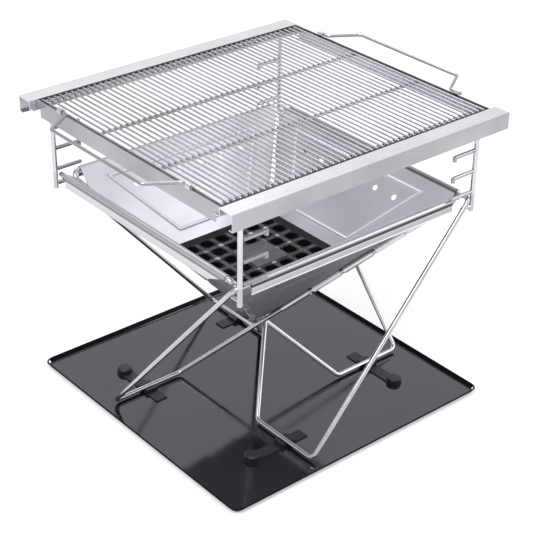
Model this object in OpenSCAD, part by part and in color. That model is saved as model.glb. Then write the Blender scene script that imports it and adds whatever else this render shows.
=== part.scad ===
// Folding fire pit on a tray, with a coal grate, a grill stand and a grill net.
// Millimetres, +Z up, the origin is under the pit axis on the ground.
// Local panel frame: x runs uphill in the panel plane, y along the rim, z into the pit.

/* [Pit] */
// half the spacing between opposite top rods
rim_half = 170; // [155:1:180]
// height of the top rod axis
rim_height = 276; // [250:1:300]
// distance from the pit axis to each foot bar
foot_half = 66; // [56:1:76]
// diameter of the pit wire
rod_d = 6; // [5:0.5:7]
// centreline radius of the wire bends
bend_r = 8; // [6:0.5:10]
// how far the outer rod stands outside the neighbour's top rod
corner_out = 8; // [7.5:0.5:10]
// how far the top rod stops short of the neighbour's top rod
corner_in = 8; // [7.5:0.5:10]
// distance from the pit axis to each crossing rod at the waist
waist_offset = 10; // [9.5:0.5:11]

/* [Panels] */
// sheet thickness of panels, rails and strips
sheet_t = 1.2; // [1:0.1:1.5]
// radial clearance of rods in rolled knuckles
hinge_clear = 0.05; // [0.03:0.01:0.1]
// gap between neighbouring knuckles along the rod
knuckle_gap = 4; // [3:0.5:8]
// radius of the pressed bead that frames the panel's field
bead_r = 1.8; // [1.5:0.1:2]
// distance from the rim to the top bead
field_top = 20; // [16:1:26]
// slant length of the beaded field
field_len = 92; // [70:1:96]
// half width of the beaded field at its top
field_half = 114; // [90:1:118]
// depth of the skirt that hangs outside the rim
skirt_h = 11; // [8:0.5:12]
// how far the skirt's lower corner is cut back where the neighbour's outer rod swings past
skirt_cut = 27; // [27:1:40]
// diameter of the vent holes
vent_d = 7.5; // [5:0.5:10]
// spacing of the vent holes along the rim
vent_pitch = 33; // [28:1:36]
// clearance of the open corner, where no knuckle is rolled
open_clear = 5; // [4:0.5:8]

/* [Tray] */
// outer side of the tray
tray_side = 396; // [390:1:420]
// thickness of the tray floor
tray_t = 1.5; // [1:0.1:2]
// height of the flared lip
lip_h = 7; // [6:0.5:9]
// outward reach of the flared lip
lip_out = 5; // [4:0.5:7]
// inner radius of the tray corners
tray_corner_r = 7; // [6:0.5:12]
// width of the slot through the lip at each tray corner
slot_w = 8; // [6:0.5:8]
// height of the slot through the lip
slot_h = 4; // [3:0.1:4]

/* [Foot clips] */
// width of the clip strip
clip_w = 16; // [12:1:20]
// reach of the strip away from the pit axis
clip_out = 50; // [44:1:58]
// reach of the strip towards the pit axis
clip_in = 30; // [20:1:36]
// thickness of the clip strip
clip_t = 1.5; // [1:0.1:2]
// height of the ears beside the foot bar
ear_h = 4; // [3:0.5:6]
// thickness of the ears
ear_t = 5; // [3:0.5:6]
// room on each side of the foot bar between the ears
ear_gap = 1.5; // [1:0.1:2]
// diameter of the stop button
button_d = 18; // [14:1:20]
// height of the stop button
button_h = 6; // [4:0.5:8]
// gap between loose parts that rest on each other
rest_gap = 0.2; // [0.1:0.05:0.3]

/* [Coal grate] */
// height of the grate's top face
grate_top = 182; // [172:1:190]
// thickness of the grate
grate_t = 10; // [8:0.5:12]
// chamfer across each grate corner
grate_corner = 6; // [5:0.5:10]
// solid edge of the grate outside its holes
grate_edge = 4.8; // [4:0.1:8]
// web between the square holes in the grate
hole_web = 8; // [6:0.5:9]
// chamfer of the hole corners
hole_cut = 4; // [3:0.5:4.5]
// height of the plain pad in the middle of the grate
pad_h = 1.5; // [1:0.1:2]

/* [Grill stand] */
// distance of the posts inside the outer rods
post_inset = 2; // [1.5:0.1:2.5]
// diameter of the posts
post_d = 6; // [5:0.5:6.5]
// height of the lower ends of the corner pins under the posts
pin_low = 258; // [250:1:262]
// diameter of pegs and bars
peg_d = 5; // [4:0.5:5.5]
// length of the pegs from the post axis
peg_len = 38; // [30:1:42]
// height of the pegs above each other
peg_step = 27; // [22:1:30]

/* [Rails] */
// overhang of each rail past the net at its first end
over_first = 2; // [1:0.5:6]
// overhang of each rail past the net at its second end
over_second = 10; // [6:0.5:16]
// width of the rail's top flange
rail_w = 22; // [20:0.5:24]
// height of the rail's outer face
rail_h = 20; // [16:1:24]
// height of the rail's top face
rail_top = 381; // [370:1:390]
// depth of the step that carries the net
step_h = 10; // [9:0.5:12]
// width of the step that carries the net
step_w = 7; // [6:0.5:9]

/* [Grill net] */
// half width of the net across the wires
net_half_x = 198; // [190:1:204]
// diameter of the net wires
wire_d = 2.6; // [2.2:0.1:3]
// spacing of the net wires
wire_pitch = 8; // [7:0.1:9]
// diameter of the cross bars under the wires
bar_d = 4; // [3:0.1:4.5]
// spacing of the two inner cross bars
bar_pitch = 112; // [90:1:120]
// depth of the side strips
strip_h = 20; // [16:1:24]

/* [Handles] */
// diameter of the handle wire
handle_d = 4; // [3:0.5:5]
// reach of the handle from its pivot
handle_reach = 36; // [28:1:44]
// half the length of the handle's grip
grip_half = 85; // [70:1:95]
// half the spacing of the handle's arms at the strip
arm_half = 114; // [106:1:120]
// length of each handle eye
eye_len = 8; // [6:0.5:10]

/* [Hidden] */
$fn = 32;
rod_r = rod_d / 2;
bend_swell = 0.02;
bend_lap = 0.3;
weld = 0.1;
foot_z = tray_t + clip_t + rod_r + rest_gap;
run = rim_half + foot_half;
rise = rim_height - foot_z;
slope = atan2(rise, run);
slant = norm([run, rise]);
u_out = rim_half + corner_out;
u_in = rim_half - corner_in;
waist_s = foot_half / cos(slope);
diag_k = (u_in + waist_offset) / (slant - waist_s);
u_foot = waist_offset + diag_k * waist_s;
bore_r = rod_r + hinge_clear;
ring_r = bore_r + sheet_t;
ring_room = 0.75;
trim = 0.5;
sheet_z = bore_r + 0.2;
sheet_bottom = waist_s + 24;
hem_low = -(rim_half - 12);
hem_high = u_in - 2 * bend_r;
knuckles = 5;
knuckle_low = sheet_bottom + 12;
knuckle_len = (slant - 24 - knuckle_low) / knuckles;
vents_per_side = 3;
floor_half = tray_side / 2 - lip_out;
corner_at = floor_half - tray_corner_r;
clip_y = -(u_out + u_foot) / 2;
post_half = u_out - post_inset;
pin_top = rim_height + rod_r + 0.5;
post_low = pin_top + rest_gap;
lug_z = rim_height - 12;
peg_low = pin_top + 1 + peg_d / 2;
post_top = rail_top - sheet_t;
rail_in = post_half - post_d / 2 - sheet_t - 0.5;
step_top = rail_top - step_h + sheet_t;
strip_half = rail_in - step_w - 0.5;
tab_half = rail_in - 0.5;
wire_z = rail_top - wire_d / 2;
bar_z = wire_z - wire_d / 2 - bar_d / 2 + weld;
border_x = net_half_x - sheet_t / 2 - wire_d / 2 - rest_gap;
border_y = tab_half - wire_d / 2 - rest_gap;
wire_half = border_y - wire_d / 2 + weld;
wire_count = floor((net_half_x - 5) / wire_pitch);
bar_end = strip_half - 4;
handle_r = handle_d / 2;
handle_bend = 1.5 * handle_d;
eye_bore_r = handle_r + hinge_clear;
eye_r = eye_bore_r + 1.5;
eye_z = rail_top + eye_r - 3 * weld;
grate_clear = 0.3;
holes_half = 3;

// own diagonal rod, as distance along the rim at slant distance s
function diag_u(s) = -u_foot + diag_k * s;

// point of the neighbour's diagonal rod in this panel's local frame
function neighbour(s) = let (
    x = diag_u(s) + foot_half,
    y = foot_half - s * cos(slope),
    z = s * sin(slope)
) [x * cos(slope) + z * sin(slope), y, z * cos(slope) - x * sin(slope)];

// neighbour's rod at a local slant distance
function neighbour_u(s) = let (
    a = neighbour(waist_s),
    b = neighbour(slant)
) a[1] + (b[1] - a[1]) * (s - a[0]) / (b[0] - a[0]);

// slant distance where the neighbour's rod reaches a given place along the rim
function neighbour_s(u) = let (
    a = neighbour(waist_s),
    b = neighbour(slant)
) a[0] + (b[0] - a[0]) * (u - a[1]) / (b[1] - a[1]);

// start and end of knuckle number i along a diagonal rod
function knuckle_start(i) = knuckle_low + i * knuckle_len + knuckle_gap / 2;
function knuckle_end(i) = knuckle_low + (i + 1) * knuckle_len - knuckle_gap / 2;

// local point on the own diagonal rod
function own(s) = [s, diag_u(s), 0];

// half width of the beaded field at slant distance s
function field_u(s) = field_half - (slant - field_top - s) * diag_k;

// round bar between two points
module bar(p, q, r) {
    d = q - p;
    translate(p)
        rotate([0, acos(d[2] / norm(d)), atan2(d[1], d[0])])
            cylinder(h = norm(d), r = r);
}

// signed turn from direction a to direction b
function turn(a, b) = atan2(a[0] * b[1] - a[1] * b[0], a[0] * b[0] + a[1] * b[1]);

// unit vector
function unit(v) = v / norm(v);

// straight length that a bend takes from each side of its corner
function bend_take(a, b, r) = r * tan(abs(turn(a, b)) / 2);

// wire bend at corner p of a flat path, arriving along a and leaving along b
module bend(p, a, b, r_bend, r) {
    t = turn(a, b);
    start = p - bend_take(a, b, r_bend) * a;
    side = t > 0 ? [-a[1], a[0]] : [a[1], -a[0]];
    centre = start + r_bend * side;
    first = atan2(start[1] - centre[1], start[0] - centre[0]);
    translate([centre[0], centre[1], 0])
        rotate([0, 0, t > 0 ? first : first + t])
            rotate_extrude(angle = abs(t))
                translate([r_bend, 0])
                    circle(r = r + bend_swell);
}

// bent wire along a flat path, open or closed
module wire(pts, r_bend, r, closed) {
    n = len(pts);
    last = closed ? n - 1 : n - 2;
    for (i = [0 : last]) {
        p = pts[i];
        q = pts[(i + 1) % n];
        d = unit(q - p);
        bent_head = closed || i > 0;
        bent_tail = closed || i < n - 2;
        head = bent_head ? bend_take(unit(p - pts[(i + n - 1) % n]), d, r_bend) - bend_lap : 0;
        tail = bent_tail ? bend_take(d, unit(pts[(i + 2) % n] - q), r_bend) - bend_lap : 0;
        a = p + head * d;
        b = q - tail * d;
        bar([a[0], a[1], 0], [b[0], b[1], 0], r);
    }
    for (i = [closed ? 0 : 1 : last])
        bend(pts[i], unit(pts[i] - pts[(i + n - 1) % n]), unit(pts[(i + 1) % n] - pts[i]), r_bend, r);
}

// places a local panel frame on side k of the pit
module side(k) {
    rotate([0, 0, 90 * k])
        translate([-foot_half, 0, foot_z])
            rotate([0, -slope, 0])
                children();
}

// closed wire loop of one side: foot bar, outer rod, top rod and diagonal
module loop_wire() {
    wire([[0, -u_foot], [0, -u_out], [slant, -u_out], [slant, u_in]], bend_r, rod_r, true);
}

// outline of the sheet inside one loop
module sheet_outline() {
    polygon([
        [sheet_bottom, neighbour_u(sheet_bottom)],
        [neighbour_s(hem_low), hem_low],
        [slant, hem_low],
        [slant, hem_high],
        [(hem_high + u_foot) / diag_k, hem_high],
        [sheet_bottom, diag_u(sheet_bottom)]
    ]);
}

// corners of the beaded field at local height z
function field_corners(z) = let (
    low = slant - field_top - field_len,
    high = slant - field_top
) [[low, -field_u(low), z], [high, -field_u(high), z], [high, field_u(high), z], [low, field_u(low), z]];

// half-round bead on the inner face round the field
module bead() {
    corners = field_corners(sheet_z + sheet_t - 0.3);
    difference() {
        for (i = [0 : 3])
            bar(corners[i], corners[(i + 1) % 4], bead_r);
        translate([0, -rim_half, sheet_z + 0.4 - 10])
            cube([slant, 2 * rim_half, 10]);
    }
}

// groove on the outer face behind the bead
module bead_groove() {
    corners = field_corners(sheet_z - 0.15);
    for (i = [0 : 3])
        bar(corners[i], corners[(i + 1) % 4], bead_r / 2);
}

// skirt that hangs from the rolled rim outside the pit, with a rolled lower edge and its lower corner cut back
module skirt(cut) {
    high = hem_high - 1;
    low = high - cut;
    translate([slant, 0, 0])
        rotate([0, slope, 0])
            translate([bore_r + 0.2, 0, 0]) {
                rotate([90, 0, 90])
                    linear_extrude(sheet_t)
                        polygon([[hem_low, -skirt_h], [low, -skirt_h], [high, 0], [hem_low, 0]]);
                bar([sheet_t / 2, hem_low, -skirt_h], [sheet_t / 2, low + 0.5, -skirt_h], 0.8 * sheet_t);
            }
}

// holes for air under the rim
module vents() {
    for (i = [0 : vents_per_side - 1])
        for (m = [-1, 1])
            translate([slant - field_top - 20, m * (i + 0.5) * vent_pitch, 0])
                cylinder(h = 20, d = vent_d);
}

// panel sheet with its rolled rim, the clips on its own rod and the knuckles on the neighbour's rod
// hinged: knuckles on the neighbour's rod; notched: room for the other neighbour's knuckles
// cut: how far the skirt's lower corner is cut back
module panel(hinged, notched, cut) {
    color([0.78, 0.79, 0.80])
        difference() {
            union() {
                translate([0, 0, sheet_z])
                    linear_extrude(sheet_t)
                        sheet_outline();
                bead();
                skirt(cut);
                bar([slant, hem_low, 0], [slant, hem_high, 0], ring_r);
                for (i = [0, 2, 4])
                    bar(own(knuckle_start(i)), own(knuckle_end(i)), ring_r);
                if (hinged)
                    for (i = [1, 3])
                        bar(neighbour(knuckle_start(i)), neighbour(knuckle_end(i)), ring_r);
            }
            bead_groove();
            vents();
            bar([slant, hem_low - 1, 0], [slant, hem_high + 1, 0], bore_r);
            bar(own(waist_s), own(slant), bore_r);
            if (notched)
                for (i = [1, 3])
                    bar(own(knuckle_start(i) - 1), own(knuckle_end(i) + 1), ring_r + ring_room);
            if (hinged) {
                bar(neighbour(waist_s), neighbour(slant + 20), bore_r);
                bar(neighbour(waist_s - 20), neighbour(knuckle_start(1) + trim), ring_r + ring_room);
                bar(neighbour(knuckle_end(1) - trim), neighbour(knuckle_start(3) + trim), ring_r + ring_room);
                bar(neighbour(knuckle_end(3) - trim), neighbour(slant + 20), ring_r + ring_room);
            } else {
                bar(neighbour(waist_s - 20), neighbour(slant + 20), rod_r + open_clear);
            }
        }
}

// wire loop of side k with the upright pin at its outer corner that carries a post
module frame(k) {
    lug_x = rim_half - (rim_height - lug_z) / tan(slope);
    color([0.72, 0.73, 0.75]) {
        side(k)
            loop_wire();
        rotate([0, 0, 90 * k]) {
            translate([post_half, -post_half, pin_low])
                cylinder(h = pin_top - pin_low, d = post_d);
            bar([lug_x, -post_half, lug_z], [post_half, -post_half, lug_z], peg_d / 2);
        }
    }
}

module frame_right() { frame(0); }
module panel_right() { side(0) panel(true, false, skirt_cut); }
module frame_back() { frame(1); }
module panel_back() { side(1) panel(false, true, 0); }
module frame_left() { frame(2); }
module panel_left() { side(2) panel(true, true, skirt_cut); }
module frame_front() { frame(3); }
module panel_front() { side(3) panel(true, true, 0); }

// section of the tray's flared lip, outward and up from the floor's edge
module lip_section() {
    polygon([[-2, 0], [0, 0], [lip_out, lip_h - 1.2], [lip_out - 1.3, lip_h], [-0.9, tray_t], [-2, tray_t]]);
}

// tray floor with a flared lip and a slot through the lip at each corner
module tray_pan() {
    color([0.05, 0.05, 0.055])
        difference() {
            union() {
                translate([-floor_half, -corner_at, 0])
                    cube([2 * floor_half, 2 * corner_at, tray_t]);
                translate([-corner_at, -floor_half, 0])
                    cube([2 * corner_at, 2 * floor_half, tray_t]);
                for (k = [0 : 3])
                    rotate([0, 0, 90 * k]) {
                        translate([corner_at, corner_at, 0])
                            cylinder(h = tray_t, r = tray_corner_r);
                        translate([floor_half, corner_at, 0])
                            rotate([90, 0, 0])
                                linear_extrude(2 * corner_at)
                                    lip_section();
                        translate([corner_at, corner_at, 0])
                            rotate_extrude(angle = 90)
                                translate([tray_corner_r, 0])
                                    lip_section();
                    }
            }
            for (k = [0 : 3])
                rotate([0, 0, 90 * k])
                    translate([corner_at, corner_at, tray_t + rest_gap])
                        rotate([0, 0, 45])
                            translate([2, -slot_w / 2, 0])
                                cube([tray_corner_r + lip_out, slot_w, slot_h]);
        }
}

// strip under each foot bar with an ear on both sides of the bar
module foot_clips() {
    ear_at = rod_r + ear_gap;
    color([0.06, 0.06, 0.065])
        for (k = [0 : 3])
            rotate([0, 0, 90 * k])
                translate([-foot_half, clip_y - clip_w / 2, tray_t]) {
                    translate([-clip_out, 0, 0])
                        cube([clip_out + clip_in, clip_w, clip_t]);
                    translate([-clip_out, clip_w / 2, 0])
                        cylinder(h = clip_t, d = button_d + 3);
                    translate([ear_at, 0, 0])
                        cube([ear_t, clip_w, clip_t + ear_h]);
                    translate([-ear_at - ear_t, 0, 0])
                        cube([ear_t, clip_w, clip_t + ear_h]);
                }
}

// round stop button at the outer end of each clip
module clip_buttons() {
    color([0.04, 0.04, 0.04])
        for (k = [0 : 3])
            rotate([0, 0, 90 * k])
                translate([-foot_half - clip_out, clip_y, tray_t + clip_t]) {
                    cylinder(h = button_h - 1.5, d = button_d);
                    translate([0, 0, button_h - 1.5])
                        cylinder(h = 1.5, d1 = button_d, d2 = button_d - 3);
                }
}

// inner half width of the pit between plain sheets at height z
function pit_half(z) = (z - foot_z) / tan(slope) - foot_half - (sheet_z + sheet_t) / sin(slope) - grate_clear;

// square with chamfered corners
module grate_outline(half, cut) {
    polygon([
        [half, half - cut], [half - cut, half], [-half + cut, half], [-half, half - cut],
        [-half, -half + cut], [-half + cut, -half], [half - cut, -half], [half, -half + cut]
    ]);
}

// cast grate that wedges between the panels, with a grid of holes round its plain raised pad
module coal_grate() {
    low_half = pit_half(grate_top - grate_t);
    top_half = pit_half(grate_top);
    hole_pitch = (low_half - grate_edge + hole_web / 2) / holes_half;
    hole_side = hole_pitch - hole_web;
    pad_half = 1.5 * hole_pitch - hole_side / 2 - hole_web / 2;
    color([0.09, 0.09, 0.095])
        translate([0, 0, grate_top - grate_t])
            difference() {
                union() {
                    linear_extrude(grate_t, scale = top_half / low_half)
                        grate_outline(low_half, grate_corner);
                    translate([-pad_half, -pad_half, grate_t / 2])
                        cube([2 * pad_half, 2 * pad_half, grate_t / 2 + pad_h]);
                }
                for (i = [-holes_half : holes_half - 1])
                    for (j = [-holes_half : holes_half - 1]) {
                        x = (i + 0.5) * hole_pitch;
                        y = (j + 0.5) * hole_pitch;
                        if (max(abs(x), abs(y)) > hole_pitch)
                            translate([x, y, -2])
                                linear_extrude(grate_t + 4)
                                    grate_outline(hole_side / 2, hole_cut);
                    }
            }
}

// two posts of one side of the stand
module posts() {
    for (m = [-1, 1])
        translate([m * post_half, -post_half, post_low])
            cylinder(h = post_top - post_low, d = post_d);
}

// pegs of one side of the stand, pointing towards each other, the upper ones with down-turned tips
module pegs() {
    tip = peg_len - peg_d / 2;
    for (m = [0, 1])
        mirror([m, 0, 0])
            for (i = [0 : 2])
                translate([-post_half, -post_half, peg_low + i * peg_step]) {
                    bar([post_d / 2 - weld, 0, 0], [tip, 0, 0], peg_d / 2);
                    translate([tip, 0, 0])
                        sphere(d = peg_d);
                    if (i > 0)
                        translate([tip, 0, -5])
                            cylinder(h = 5, d = peg_d);
                }
}

module posts_front() { color([0.70, 0.71, 0.73]) posts(); }
module posts_back() { color([0.70, 0.71, 0.73]) rotate([0, 0, 180]) posts(); }
module pegs_front() { color([0.66, 0.67, 0.69]) pegs(); }
module pegs_back() { color([0.66, 0.67, 0.69]) rotate([0, 0, 180]) pegs(); }

// rail section: x outward from the net, y up
module rail_section() {
    polygon([
        [-step_w, step_top - sheet_t], [sheet_t, step_top - sheet_t], [sheet_t, rail_top - sheet_t],
        [rail_w - sheet_t, rail_top - sheet_t], [rail_w - sheet_t, rail_top - rail_h + sheet_t],
        [rail_w - 6, rail_top - rail_h + sheet_t], [rail_w - 6, rail_top - rail_h],
        [rail_w, rail_top - rail_h], [rail_w, rail_top], [0, rail_top], [0, step_top], [-step_w, step_top]
    ]);
}

// folded channel on the post tops with a step that carries the net
module rail() {
    color([0.80, 0.81, 0.82])
        translate([-net_half_x - over_first, -rail_in, 0])
            rotate([90, 0, 90])
                mirror([1, 0, 0])
                    linear_extrude(2 * net_half_x + over_first + over_second)
                        rail_section();
}

module rail_front() { rail(); }
module rail_back() { rotate([0, 0, 180]) rail(); }

// parallel wires of the net
module net_wires() {
    color([0.60, 0.61, 0.63])
        for (i = [-wire_count : wire_count])
            translate([i * wire_pitch, -wire_half, wire_z])
                rotate([-90, 0, 0])
                    cylinder(h = 2 * wire_half, d = wire_d);
}

// cross bars welded under the net wires
module net_bars() {
    reach = net_half_x - sheet_t / 2;
    color([0.55, 0.56, 0.58])
        for (m = [-1, 1])
            for (y = [bar_pitch / 2, bar_end])
                bar([-reach, m * y, bar_z], [reach, m * y, bar_z], bar_d / 2);
}

// wire border round the net, level with the wires
module net_border() {
    color([0.20, 0.20, 0.21])
        translate([0, 0, wire_z])
            wire([[-border_x, -border_y], [border_x, -border_y], [border_x, border_y], [-border_x, border_y]],
                2 * wire_d, wire_d / 2, true);
}

// side strip of the net with a tab at each end that rests on the rail's step
module strip() {
    translate([-sheet_t / 2, -strip_half, rail_top - strip_h])
        cube([sheet_t, 2 * strip_half, strip_h]);
    translate([-sheet_t / 2, -tab_half, step_top + rest_gap])
        cube([sheet_t, 2 * tab_half, rail_top - step_top - rest_gap]);
}

module strip_left() { color([0.76, 0.77, 0.78]) translate([-net_half_x, 0, 0]) strip(); }
module strip_right() { color([0.76, 0.77, 0.78]) translate([net_half_x, 0, 0]) strip(); }

// rolled eyes on the strip's top edge that hold a handle
module eyes() {
    for (m = [-1, 1])
        translate([0, m * (arm_half + 2 + eye_len / 2), 0])
            rotate([90, 0, 0])
                difference() {
                    cylinder(h = eye_len, r = eye_r, center = true);
                    cylinder(h = eye_len + 2, r = eye_bore_r, center = true);
                }
}

module eyes_left() { color([0.70, 0.71, 0.72]) translate([-net_half_x, 0, eye_z]) eyes(); }
module eyes_right() { color([0.70, 0.71, 0.72]) translate([net_half_x, 0, eye_z]) eyes(); }

// wire handle that reaches along +X, with a pin at each end
module handle() {
    pin = arm_half + eye_len + 4;
    wire([
        [0, -pin], [0, -arm_half + 6], [handle_reach, -grip_half],
        [handle_reach, grip_half], [0, arm_half - 6], [0, pin]
    ], handle_bend, handle_r, false);
}

module handle_right() { color([0.62, 0.63, 0.65]) translate([net_half_x, 0, eye_z]) handle(); }
module handle_left() { color([0.62, 0.63, 0.65]) translate([-net_half_x, 0, eye_z]) rotate([0, 0, 180]) handle(); }

tray_pan();
foot_clips();
clip_buttons();
frame_front();
panel_front();
frame_left();
panel_left();
frame_right();
panel_right();
frame_back();
panel_back();
coal_grate();
posts_front();
posts_back();
pegs_front();
pegs_back();
rail_front();
rail_back();
net_wires();
net_bars();
net_border();
strip_left();
strip_right();
eyes_left();
eyes_right();
handle_left();
handle_right();
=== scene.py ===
import math

import bpy
from mathutils import Matrix, Vector

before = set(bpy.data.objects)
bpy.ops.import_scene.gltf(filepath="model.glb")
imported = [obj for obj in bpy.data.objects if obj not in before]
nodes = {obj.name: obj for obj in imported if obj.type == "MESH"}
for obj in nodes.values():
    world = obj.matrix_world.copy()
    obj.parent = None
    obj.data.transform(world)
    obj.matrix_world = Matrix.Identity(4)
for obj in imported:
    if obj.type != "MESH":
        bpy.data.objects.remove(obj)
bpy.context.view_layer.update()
scene = bpy.context.scene
scene.view_settings.view_transform = "Standard"

# panel plane: half spacing and height of the foot bars, slope, and heights of both faces over the rods
FOOT_AT = 0.066
FOOT_HIGH = 0.0062
SLOPE_SIN = 0.75268
SLOPE_COS = 0.65838
INNER_FACE = 0.00445
OUTER_FACE = 0.00325

# heights over the inner face where a bead starts and is full, and distances where the painted shade of the
# outer face fades
BEAD_START = 0.0001
BEAD_FULL = 0.0004
OUTER_NEAR = 0.0003
OUTER_FAR = 0.0007

# pressed field of a panel: upper and lower end along the slope, half width at the top, and its taper
FIELD_HIGH = 0.33845
FIELD_LOW = 0.24645
FIELD_HALF = 0.1140
FIELD_TAPER = 0.66613
SHOULDER_IN = 0.0016
SHOULDER_OUT = 0.0034

# rolled rim, skirt outside it and the stretch beside the far corner darkened with painted shade, in metres
RIM_ROLL = 0.1645
RIM_BLEND = 0.001
SKIRT_START = 0.1690
SKIRT_FULL = 0.1728
SKIRT_LOW = 0.264
SKIRT_HIGH = 0.278
CORNER_NEAR = 0.035
CORNER_FAR = 0.085

# grate: pitch of its holes, widths of webs and crossings as shares of the pitch, border and pad in metres
HOLE_PITCH = 0.0240
WEB_RAGGED = 0.20
WEB_IN = 0.15
WEB_OUT = 0.25
CROSS_IN = 0.07
CROSS_OUT = 0.16
BORDER_FROM = 0.0665
BORDER_BLEND = 0.003
PAD_FROM = 0.1822
PAD_BLEND = 0.0008
# noise levels where the painted glints at web crossings start and are full
GLINT_START = 0.50
GLINT_FULL = 0.56

# height at which the tray's lip starts
LIP_FROM = 0.0017
LIP_BLEND = 0.001

# part of a noise's range that carries its contrast
NOISE_LOW = 0.3
NOISE_HIGH = 0.7

# features per metre along each axis
GRAIN_X = (30, 1800, 1800)
GRAIN_Y = (1800, 30, 1800)
GRAIN_ALL = (500, 500, 500)
STEEL_CLOUD = (14, 14, 14)
STEEL_SWELL = (22, 22, 22)
ASH_CLOUD = (9, 9, 9)
ORANGE_PEEL = (420, 420, 420)
IRON_SAND = (900, 900, 900)
IRON_CLOUD = (60, 60, 60)
IRON_SPECK = (250, 250, 250)
IRON_PLACES = (70, 70, 70)
COAT_SAND = (1400, 1400, 1400)
COAT_CLOUD = (40, 40, 40)

# relief: depth in metres and strength
SWELL_DEPTH = 0.002
PEEL_DEPTH = 0.0003
SAND_DEPTH = 0.0006
SHEET_WAVE = 0.15
WIRE_WAVE = 0.10
PEEL_STRENGTH = 0.08
IRON_STRENGTH = 0.5
COAT_STRENGTH = 0.2

# red and blue of a cool grey, as shares of its green
COOL_RED = 1.01
COOL_BLUE = 1.075

# gloss of the black parts, and darkest and lightest colour of the tray's floor
COOL_GLOSS = (0.91, 0.90, 1.0, 1)
ENAMEL_IOR = 1.83
IRON_GLOSS = 0.15
PAN_DARK = (0.004, 0.004, 0.007)
PAN_LIGHT = (0.010, 0.010, 0.016)

# darkest and lightest grey of each surface
SHEET_GREYS = (0.60, 0.68)
BEAD_GREYS = (0.78, 0.86)
OUTER_SHADE_GREYS = (0.24, 0.31)
LIP_SHADE_GREYS = (0.006, 0.012)
SOOTY_GREYS = (0.006, 0.012)
RUBBED_GREYS = (0.055, 0.140)
GLINT_GREYS = (0.48, 0.78)
PAD_GREYS = (0.115, 0.175)
COAT_GREYS = (0.004, 0.010)

# darkest grey as a share of the lightest
EDGE_DARK = 0.9
CORNER_SHADE_DARK = 0.9
RIM_SHADE_DARK = 0.7

# lowest and highest roughness, and roughness of beads, outer faces with painted shade and the tray's lip
SHEET_ROUGH = (0.28, 0.32)
PAN_ROUGH = (0.05, 0.13)
IRON_ROUGH = (0.40, 0.65)
COAT_ROUGH = (0.42, 0.60)
SHEET_DULL = 0.6
LIP_DULL = 0.5

# places on the skirt, from its lower edge to the rim, and which of its five greys each one takes
SKIRT_PLACES = (0.14, 0.18, 0.50, 0.54, 0.62, 0.67, 0.87, 0.92)
SKIRT_TAKES = (0, 1, 1, 2, 2, 3, 3, 4)
# greys of the skirt's five bands of painted light and shade, lighter on the left and right than on the front
# and back
SKIRT_FRONT_BACK = (0.60, 0.42, 0.52, 0.07, 0.42)
SKIRT_LEFT_RIGHT = (0.66, 0.58, 0.66, 0.26, 0.50)

# sockets of a Mix node that mixes colours
MIX_FACTOR = 0
MIX_FIRST = 6
MIX_SECOND = 7
MIX_RESULT = 2


# grey with the faint violet cast that the metal has in the photograph
def cool(grey):
    return (COOL_RED * grey, grey, COOL_BLUE * grey)


# material and its Principled shader
def new_material(name):
    mat = bpy.data.materials.new(name)
    mat.use_nodes = True
    return mat, mat.node_tree.nodes["Principled BSDF"]


# point on the surface in object coordinates, which are metres in the shared frame at rest
def surface_point(tree):
    return tree.nodes.new("ShaderNodeTexCoord").outputs["Object"]


# one coordinate of a point
def coordinate(tree, point, axis):
    split = tree.nodes.new("ShaderNodeSeparateXYZ")
    tree.links.new(point, split.inputs["Vector"])
    return split.outputs[axis]


# result of a Math node, whose inputs are sockets or numbers
def calculated(tree, operation, *inputs):
    node = tree.nodes.new("ShaderNodeMath")
    node.operation = operation
    for socket, given in zip(node.inputs, inputs):
        if isinstance(given, (int, float)):
            socket.default_value = given
        else:
            tree.links.new(given, socket)
    return node.outputs["Value"]


# larger of two values
def larger(tree, first, second):
    return calculated(tree, "MAXIMUM", first, second)


# smaller of two values
def smaller(tree, first, second):
    return calculated(tree, "MINIMUM", first, second)


# value without its sign
def unsigned(tree, value):
    return calculated(tree, "ABSOLUTE", value)


# product of two values plus a third
def product_plus(tree, value, factor, term):
    return calculated(tree, "MULTIPLY_ADD", value, factor, term)


# noise stretched by a scale for each axis, in features per metre
def stretched_noise(tree, point, scale, detail):
    mapping = tree.nodes.new("ShaderNodeMapping")
    mapping.inputs["Scale"].default_value = scale
    tree.links.new(point, mapping.inputs["Vector"])
    noise = tree.nodes.new("ShaderNodeTexNoise")
    noise.inputs["Scale"].default_value = 1.0
    noise.inputs["Detail"].default_value = detail
    tree.links.new(mapping.outputs["Vector"], noise.inputs["Vector"])
    return noise.outputs["Fac"]


# number between low and high that follows a value from start to end
def ranged(tree, value, low, high, start=NOISE_LOW, end=NOISE_HIGH):
    node = tree.nodes.new("ShaderNodeMapRange")
    node.inputs["From Min"].default_value = start
    node.inputs["From Max"].default_value = end
    node.inputs["To Min"].default_value = low
    node.inputs["To Max"].default_value = high
    tree.links.new(value, node.inputs["Value"])
    return node.outputs["Result"]


# 0 up to start and 1 from end on
def rising(tree, value, start, end):
    return ranged(tree, value, 0.0, 1.0, start, end)


# 1 up to start and 0 from end on
def falling(tree, value, start, end):
    return ranged(tree, value, 1.0, 0.0, start, end)


# colour between two colours that follows a noise
def tinted(tree, value, dark, light):
    ramp = tree.nodes.new("ShaderNodeValToRGB")
    ramp.color_ramp.elements[0].position = NOISE_LOW
    ramp.color_ramp.elements[0].color = (*dark, 1)
    ramp.color_ramp.elements[1].position = NOISE_HIGH
    ramp.color_ramp.elements[1].color = (*light, 1)
    tree.links.new(value, ramp.inputs["Fac"])
    return ramp.outputs["Color"]


# cool grey between two greys that follows a noise
def greyed(tree, value, dark, light):
    return tinted(tree, value, cool(dark), cool(light))


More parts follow.
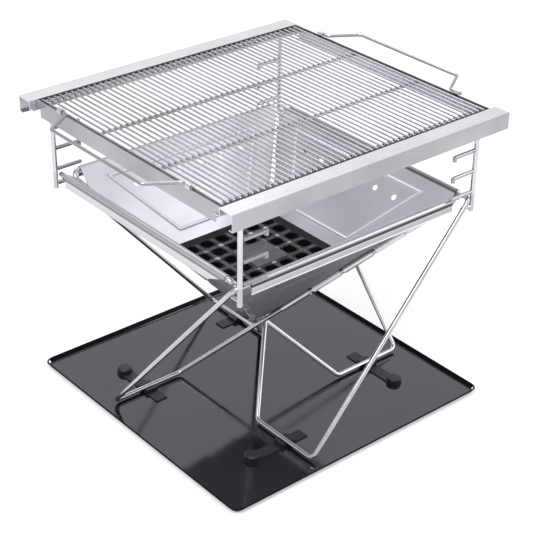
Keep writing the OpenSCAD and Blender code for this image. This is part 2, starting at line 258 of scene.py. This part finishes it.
# blend of two colours by a 0 to 1 value
def mixed(tree, value, first, second):
    mix = tree.nodes.new("ShaderNodeMix")
    mix.data_type = "RGBA"
    tree.links.new(value, mix.inputs[MIX_FACTOR])
    tree.links.new(first, mix.inputs[MIX_FIRST])
    tree.links.new(second, mix.inputs[MIX_SECOND])
    return mix.outputs[MIX_RESULT]


# fine relief from a 0 to 1 value
def relief(tree, shader, value, strength, depth):
    bump = tree.nodes.new("ShaderNodeBump")
    bump.inputs["Strength"].default_value = strength
    bump.inputs["Distance"].default_value = depth
    tree.links.new(value, bump.inputs["Height"])
    tree.links.new(bump.outputs["Normal"], shader.inputs["Normal"])


# 0 below a height and 1 above it
def above(tree, point, height, blend):
    return rising(tree, coordinate(tree, point, "Z"), height, height + blend)


# 0 within a distance of the middle along one axis and 1 beyond it
def beyond(tree, point, axis, start, end):
    return rising(tree, unsigned(tree, coordinate(tree, point, axis)), start, end)


# height over the plane of a panel's rods, towards the inside of the pit
def panel_height(tree, point, axis):
    outwards = unsigned(tree, coordinate(tree, point, axis))
    base = -FOOT_AT * SLOPE_SIN - FOOT_HIGH * SLOPE_COS
    level = product_plus(tree, outwards, -SLOPE_SIN, base)
    return product_plus(tree, coordinate(tree, point, "Z"), SLOPE_COS, level)


# 1 on the bead line round a panel's pressed field and its soft shoulders, 0 away from it
def shoulders(tree, point, across):
    sideways = unsigned(tree, coordinate(tree, point, across))
    lift = (FOOT_HIGH + INNER_FACE * SLOPE_COS) / SLOPE_SIN
    along = product_plus(tree, coordinate(tree, point, "Z"), 1 / SLOPE_SIN, -lift)
    lean = 1 / math.hypot(1, FIELD_TAPER)
    offset = product_plus(tree, sideways, lean, lean * (FIELD_HIGH * FIELD_TAPER - FIELD_HALF))
    beside = product_plus(tree, along, -lean * FIELD_TAPER, offset)
    over = product_plus(tree, along, 1.0, -FIELD_HIGH)
    under = product_plus(tree, along, -1.0, FIELD_LOW)
    edge = larger(tree, larger(tree, beside, over), under)
    return falling(tree, unsigned(tree, edge), SHOULDER_IN, SHOULDER_OUT)


# greys in bands of height on the skirt, all painted light and shade: rolled edge, face, pressed line lighter
# as a painted highlight, fold darkened as a painted shadow, rolled rim
def skirt_light_and_shade_bands(tree, point, greys):
    height = rising(tree, coordinate(tree, point, "Z"), SKIRT_LOW, SKIRT_HIGH)
    ramp = tree.nodes.new("ShaderNodeValToRGB")
    stops = ramp.color_ramp.elements
    stops[0].position = SKIRT_PLACES[0]
    stops[1].position = SKIRT_PLACES[-1]
    for place in SKIRT_PLACES[1:-1]:
        stops.new(place)
    for stop, take in zip(stops, SKIRT_TAKES):
        stop.color = (*cool(greys[take]), 1)
    tree.links.new(height, ramp.inputs["Fac"])
    return ramp.outputs["Color"]


# metal with slow waves in its surface, returned with its cloud noise and its brushed streaks along the grain
def brushed_metal(name, grain, wave):
    mat, shader = new_material(name)
    tree = mat.node_tree
    point = surface_point(tree)
    shader.inputs["Metallic"].default_value = 1.0
    cloud = stretched_noise(tree, point, STEEL_CLOUD, detail=2.0)
    streak = stretched_noise(tree, point, grain, detail=1.0)
    swell = stretched_noise(tree, point, STEEL_SWELL, detail=1.0)
    relief(tree, shader, swell, wave, SWELL_DEPTH)
    return mat, shader, point, cloud, streak


# stainless steel of cloudy grey; outer: axis, start and end of an outer face that is darker as painted
# shade, and its greys
def steel(name, greys, rough, grain=GRAIN_ALL, wave=WIRE_WAVE, outer=None):
    mat, shader, point, cloud, streak = brushed_metal(name, grain, wave)
    tree = mat.node_tree
    colour = greyed(tree, cloud, *greys)
    if outer:
        axis, start, end, outer_greys = outer
        face = beyond(tree, point, axis, start, end)
        colour = mixed(tree, face, colour, greyed(tree, cloud, *outer_greys))
    tree.links.new(colour, shader.inputs["Base Color"])
    tree.links.new(ranged(tree, streak, *rough), shader.inputs["Roughness"])
    return mat


# panel sheet: brushed steel and dull beads with a painted highlight inside, outer face darkened with painted
# shade, skirt outside the rim banded with painted light and shade
# axis: the one the panel faces; greys: bands of the skirt; edge: grey of the beads' shoulders, painted shade
# where it is darker than the sheet and painted highlight where it is lighter
# rim_shade: grey of the inner side of the rolled rim; corner: grey beside the far corner, both darker as
# painted shade
def sheet(name, axis, grain, greys, edge, rim_shade=None, corner=None):
    mat, shader, point, cloud, streak = brushed_metal(name, grain, SHEET_WAVE)
    tree = mat.node_tree
    height = panel_height(tree, point, axis)
    bead = rising(tree, height, INNER_FACE + BEAD_START, INNER_FACE + BEAD_FULL)
    off_outer = unsigned(tree, product_plus(tree, height, 1.0, -OUTER_FACE))
    outer = falling(tree, off_outer, OUTER_NEAR, OUTER_FAR)
    plain = greyed(tree, cloud, *SHEET_GREYS)
    # painted shade darkening the sheet towards the far corner
    if corner:
        to_left = product_plus(tree, coordinate(tree, point, "X"), -1.0, coordinate(tree, point, "Y"))
        near = falling(tree, to_left, CORNER_NEAR, CORNER_FAR)
        plain = mixed(tree, near, plain, greyed(tree, cloud, CORNER_SHADE_DARK * corner, corner))
    shoulder = shoulders(tree, point, "X" if axis == "Y" else "Y")
    # painted shade on the front and back panels' bead shoulders, painted highlight on the left and right
    # ones, and a painted highlight on the beads
    pressed = greyed(tree, streak, EDGE_DARK * edge, edge)
    bead_highlight = greyed(tree, streak, *BEAD_GREYS)
    inside = mixed(tree, bead, mixed(tree, shoulder, plain, pressed), bead_highlight)
    # painted shade on the inner side of the rolled rim
    if rim_shade:
        rolled = beyond(tree, point, axis, RIM_ROLL, RIM_ROLL + RIM_BLEND)
        inside = mixed(tree, rolled, inside, greyed(tree, cloud, RIM_SHADE_DARK * rim_shade, rim_shade))
    # painted shade on the outer face
    both = mixed(tree, outer, inside, greyed(tree, cloud, *OUTER_SHADE_GREYS))
    skirt = beyond(tree, point, axis, SKIRT_START, SKIRT_FULL)
    colour = mixed(tree, skirt, both, skirt_light_and_shade_bands(tree, point, greys))
    tree.links.new(colour, shader.inputs["Base Color"])
    brushed = ranged(tree, streak, *SHEET_ROUGH)
    dull = ranged(tree, larger(tree, bead, outer), 0.0, SHEET_DULL, 0.0, 1.0)
    tree.links.new(larger(tree, brushed, dull), shader.inputs["Roughness"])
    return mat


# glossy black enamel with dull ash marks, a faint orange-peel skin and a lip made near black, dull and
# metallic as painted shade
def enamel(name):
    mat, shader = new_material(name)
    tree = mat.node_tree
    point = surface_point(tree)
    shader.inputs["IOR"].default_value = ENAMEL_IOR
    shader.inputs["Specular Tint"].default_value = COOL_GLOSS
    cloud = stretched_noise(tree, point, ASH_CLOUD, detail=4.0)
    peel = stretched_noise(tree, point, ORANGE_PEEL, detail=2.0)
    lip = above(tree, point, LIP_FROM, LIP_BLEND)
    floor_tint = tinted(tree, cloud, PAN_DARK, PAN_LIGHT)
    # painted shade on the lip
    lip_shade = greyed(tree, peel, *LIP_SHADE_GREYS)
    tree.links.new(mixed(tree, lip, floor_tint, lip_shade), shader.inputs["Base Color"])
    floor_rough = ranged(tree, cloud, *PAN_ROUGH)
    lip_rough = ranged(tree, lip, 0.0, LIP_DULL, 0.0, 1.0)
    tree.links.new(larger(tree, floor_rough, lip_rough), shader.inputs["Roughness"])
    tree.links.new(lip, shader.inputs["Metallic"])
    relief(tree, shader, peel, PEEL_STRENGTH, PEEL_DEPTH)
    return mat


# distance from the nearest middle of a web between the grate's holes, along one axis, 0 to 0.5 of the pitch
def from_web(tree, point, axis):
    count = calculated(tree, "MULTIPLY", coordinate(tree, point, axis), 1 / HOLE_PITCH)
    return calculated(tree, "PINGPONG", count, 0.5)


# cast iron with a sandy grain, sooty round the holes and on the border, rubbed on the webs and the pad,
# and with painted highlights in places where webs cross
def cast(name):
    mat, shader = new_material(name)
    tree = mat.node_tree
    point = surface_point(tree)
    shader.inputs["Specular IOR Level"].default_value = IRON_GLOSS
    shader.inputs["Specular Tint"].default_value = COOL_GLOSS
    sand = stretched_noise(tree, point, IRON_SAND, detail=3.0)
    cloud = stretched_noise(tree, point, IRON_CLOUD, detail=3.0)
    speck = stretched_noise(tree, point, IRON_SPECK, detail=2.0)
    off_x = from_web(tree, point, "X")
    off_y = from_web(tree, point, "Y")
    ragged = product_plus(tree, speck, WEB_RAGGED, smaller(tree, off_x, off_y))
    web = falling(tree, ragged, WEB_IN, WEB_OUT)
    crossing = falling(tree, larger(tree, off_x, off_y), CROSS_IN, CROSS_OUT)
    # painted highlights as glints where webs cross, in places set by a noise
    places = stretched_noise(tree, point, IRON_PLACES, detail=1.0)
    in_places = rising(tree, places, GLINT_START, GLINT_FULL)
    sooty = greyed(tree, cloud, *SOOTY_GREYS)
    rubbed = greyed(tree, cloud, *RUBBED_GREYS)
    crossing_glint = greyed(tree, cloud, *GLINT_GREYS)
    webs = mixed(tree, smaller(tree, crossing, in_places), mixed(tree, web, sooty, rubbed), crossing_glint)
    border_x = beyond(tree, point, "X", BORDER_FROM, BORDER_FROM + BORDER_BLEND)
    border_y = beyond(tree, point, "Y", BORDER_FROM, BORDER_FROM + BORDER_BLEND)
    ribs = mixed(tree, larger(tree, border_x, border_y), webs, sooty)
    pad = above(tree, point, PAD_FROM, PAD_BLEND)
    colour = mixed(tree, pad, ribs, greyed(tree, cloud, *PAD_GREYS))
    tree.links.new(colour, shader.inputs["Base Color"])
    tree.links.new(ranged(tree, sand, *IRON_ROUGH), shader.inputs["Roughness"])
    relief(tree, shader, sand, IRON_STRENGTH, SAND_DEPTH)
    return mat


# black coat with a sandy grain
def black_coat(name):
    mat, shader = new_material(name)
    tree = mat.node_tree
    point = surface_point(tree)
    shader.inputs["Specular Tint"].default_value = COOL_GLOSS
    sand = stretched_noise(tree, point, COAT_SAND, detail=3.0)
    cloud = stretched_noise(tree, point, COAT_CLOUD, detail=3.0)
    tree.links.new(greyed(tree, cloud, *COAT_GREYS), shader.inputs["Base Color"])
    tree.links.new(ranged(tree, sand, *COAT_ROUGH), shader.inputs["Roughness"])
    relief(tree, shader, sand, COAT_STRENGTH, SAND_DEPTH)
    return mat


# outer face of a rail, darkened as painted shade: axis, where it starts and is full, and its greys
RAIL_FACE_SHADE = ("Y", 0.1920, 0.1930, (0.35, 0.45))

# finishes of the pieces: steel has its greys and its roughness
sheet_front = sheet("sheet_grain_x", "Y", GRAIN_X, SKIRT_FRONT_BACK, edge=0.42)
sheet_back = sheet("sheet_shaded_corner", "Y", GRAIN_X, SKIRT_FRONT_BACK, edge=0.42, corner=0.35)
sheet_left = sheet("sheet_grain_y", "X", GRAIN_Y, SKIRT_LEFT_RIGHT, edge=0.80)
sheet_right = sheet("sheet_shaded_rim", "X", GRAIN_Y, SKIRT_LEFT_RIGHT, edge=0.88, rim_shade=0.18)
rail_steel = steel("rail_grain_x", (0.64, 0.74), (0.24, 0.34), GRAIN_X, SHEET_WAVE, RAIL_FACE_SHADE)
# strips take the rails' steel in a darker grey as painted shade
strip_steel = steel("strip_grain_y", (0.35, 0.44), (0.24, 0.34), GRAIN_Y, SHEET_WAVE)
eye_steel = steel("bright_wire", (0.58, 0.70), (0.10, 0.20))
loop_steel = steel("loop_wire", (0.42, 0.53), (0.12, 0.24))
post_steel = steel("post_wire", (0.52, 0.64), (0.12, 0.22))
peg_steel = steel("peg_wire", (0.26, 0.36), (0.16, 0.28))
handle_steel = steel("handle_wire", (0.31, 0.43), (0.14, 0.26))
net_steel = steel("net_wire", (0.38, 0.50), (0.22, 0.34))
# near-black border wire standing in for the shadow gap between the net and the rails and strips: painted
# shadow
border_shadow_steel = steel("net_border_shadow", (0.030, 0.060), (0.30, 0.45))
tray_enamel = enamel("tray_enamel")
cast_iron = cast("cast_iron")
clip_coat = black_coat("clip_coat")

finish_of = {
    "tray_pan": tray_enamel,
    "foot_clips": clip_coat,
    "clip_buttons": clip_coat,
    "coal_grate": cast_iron,
    "panel_front": sheet_front,
    "panel_back": sheet_back,
    "panel_left": sheet_left,
    "panel_right": sheet_right,
    "net_wires": net_steel,
    "net_bars": net_steel,
    "net_border": border_shadow_steel,
}
for side in ("front", "back"):
    finish_of["frame_" + side] = loop_steel
    finish_of["posts_" + side] = post_steel
    finish_of["pegs_" + side] = peg_steel
    finish_of["rail_" + side] = rail_steel
for side in ("left", "right"):
    finish_of["frame_" + side] = loop_steel
    finish_of["strip_" + side] = strip_steel
    finish_of["eyes_" + side] = eye_steel
    finish_of["handle_" + side] = handle_steel
for name, obj in nodes.items():
    obj.data.materials.clear()
    obj.data.materials.append(finish_of[name])


# camera at the photograph's viewing angle, slightly rolled
CAMERA_AT = Vector((-1.0244, -1.2163, 1.0783))
CAMERA_TO = Vector((-0.0118, -0.0252, 0.180))
CAMERA_ROLL = math.radians(0.97)
CAMERA_SENSOR = 36
CAMERA_LENS = 100.9
camera = bpy.data.objects.new("camera", bpy.data.cameras.new("camera"))
scene.collection.objects.link(camera)
camera.data.sensor_width = CAMERA_SENSOR
camera.data.lens = CAMERA_LENS
back = (CAMERA_AT - CAMERA_TO).normalized()
level = Vector((0, 0, 1)).cross(back).normalized()
upright = back.cross(level)
right = level * math.cos(CAMERA_ROLL) + upright * math.sin(CAMERA_ROLL)
up = upright * math.cos(CAMERA_ROLL) - level * math.sin(CAMERA_ROLL)
turn = Matrix((right, up, back)).transposed()
camera.matrix_world = Matrix.Translation(CAMERA_AT) @ turn.to_4x4()
scene.camera = camera


# point that the lamps face
LAMPS_TO = Vector((0, 0, 0.2))


# soft lamp, with its width in metres and its power in watts
def lamp(name, at, width, power):
    data = bpy.data.lights.new(name, "AREA")
    data.shape = "SQUARE"
    data.size = width
    data.energy = power
    obj = bpy.data.objects.new(name, data)
    obj.location = at
    obj.rotation_euler = (Vector(at) - LAMPS_TO).to_track_quat("Z", "Y").to_euler()
    scene.collection.objects.link(obj)


lamp("key_lamp", (-1.2, -0.6, 1.9), width=1.2, power=26)
lamp("fill_lamp", (1.6, -1.2, 1.3), width=1.4, power=12)
lamp("rim_lamp", (0.4, 1.0, 2.2), width=1.2, power=14)


# 1 for rays from the camera, a mirror or glass, 0 for light that falls on the object
def seen_rays(tree):
    path = tree.nodes.new("ShaderNodeLightPath")
    direct = larger(tree, path.outputs["Is Camera Ray"], path.outputs["Is Glossy Ray"])
    return larger(tree, direct, path.outputs["Is Transmission Ray"])


# studio world that looks white and lights the object softly
WORLD_LIGHT = 0.45
WORLD_SEEN = 1.0
world = bpy.data.worlds.new("studio")
scene.world = world
world.use_nodes = True
world_tree = world.node_tree
background = world_tree.nodes["Background"]
background.inputs["Color"].default_value = (1, 1, 1, 1)
world_strength = ranged(world_tree, seen_rays(world_tree), WORLD_LIGHT, WORLD_SEEN, 0.0, 1.0)
world_tree.links.new(world_strength, background.inputs["Strength"])


# flat rectangle round the origin, at a height
def rectangle(name, width, length, height=0.0):
    x = width / 2
    y = length / 2
    mesh = bpy.data.meshes.new(name)
    corners = [(-x, -y, height), (x, -y, height), (x, y, height), (-x, y, height)]
    mesh.from_pydata(corners, [], [(0, 1, 2, 3)])
    obj = bpy.data.objects.new(name, mesh)
    scene.collection.objects.link(obj)
    return obj


# pale studio card that only mirrors see, facing the pit
CARD_AT = Vector((-1.5, 1.7, 1.3))
CARD_TO = Vector((0, 0, 0.25))
CARD_WIDTH = 1.9
CARD_LENGTH = 1.5
CARD_SHADE = 0.97
card = rectangle("left_back_card", CARD_WIDTH, CARD_LENGTH)
card.location = CARD_AT
card.rotation_euler = (CARD_TO - CARD_AT).to_track_quat("Z", "Y").to_euler()
card_mat, card_shader = new_material("left_back_card")
card_shader.inputs["Base Color"].default_value = (CARD_SHADE, CARD_SHADE, CARD_SHADE, 1)
card_shader.inputs["Roughness"].default_value = 1.0
card.data.materials.append(card_mat)
card.visible_camera = False
card.visible_diffuse = False
card.visible_shadow = False

# pale floor just under the tray, which looks white and keeps the object's shadow
FLOOR_WIDTH = 60.0
FLOOR_HEIGHT = -0.0005
FLOOR_SHADE = 0.86
FLOOR_ROUGH = 0.9
FLOOR_SEEN = 0.35
floor = rectangle("floor", FLOOR_WIDTH, FLOOR_WIDTH, FLOOR_HEIGHT)
floor_mat, floor_shader = new_material("pale_floor")
floor_tree = floor_mat.node_tree
floor_shader.inputs["Base Color"].default_value = (FLOOR_SHADE, FLOOR_SHADE, FLOOR_SHADE, 1)
floor_shader.inputs["Roughness"].default_value = FLOOR_ROUGH
floor_shader.inputs["Emission Color"].default_value = (1, 1, 1, 1)
floor_glow = ranged(floor_tree, seen_rays(floor_tree), 0.0, FLOOR_SEEN, 0.0, 1.0)
floor_tree.links.new(floor_glow, floor_shader.inputs["Emission Strength"])
floor.data.materials.append(floor_mat)
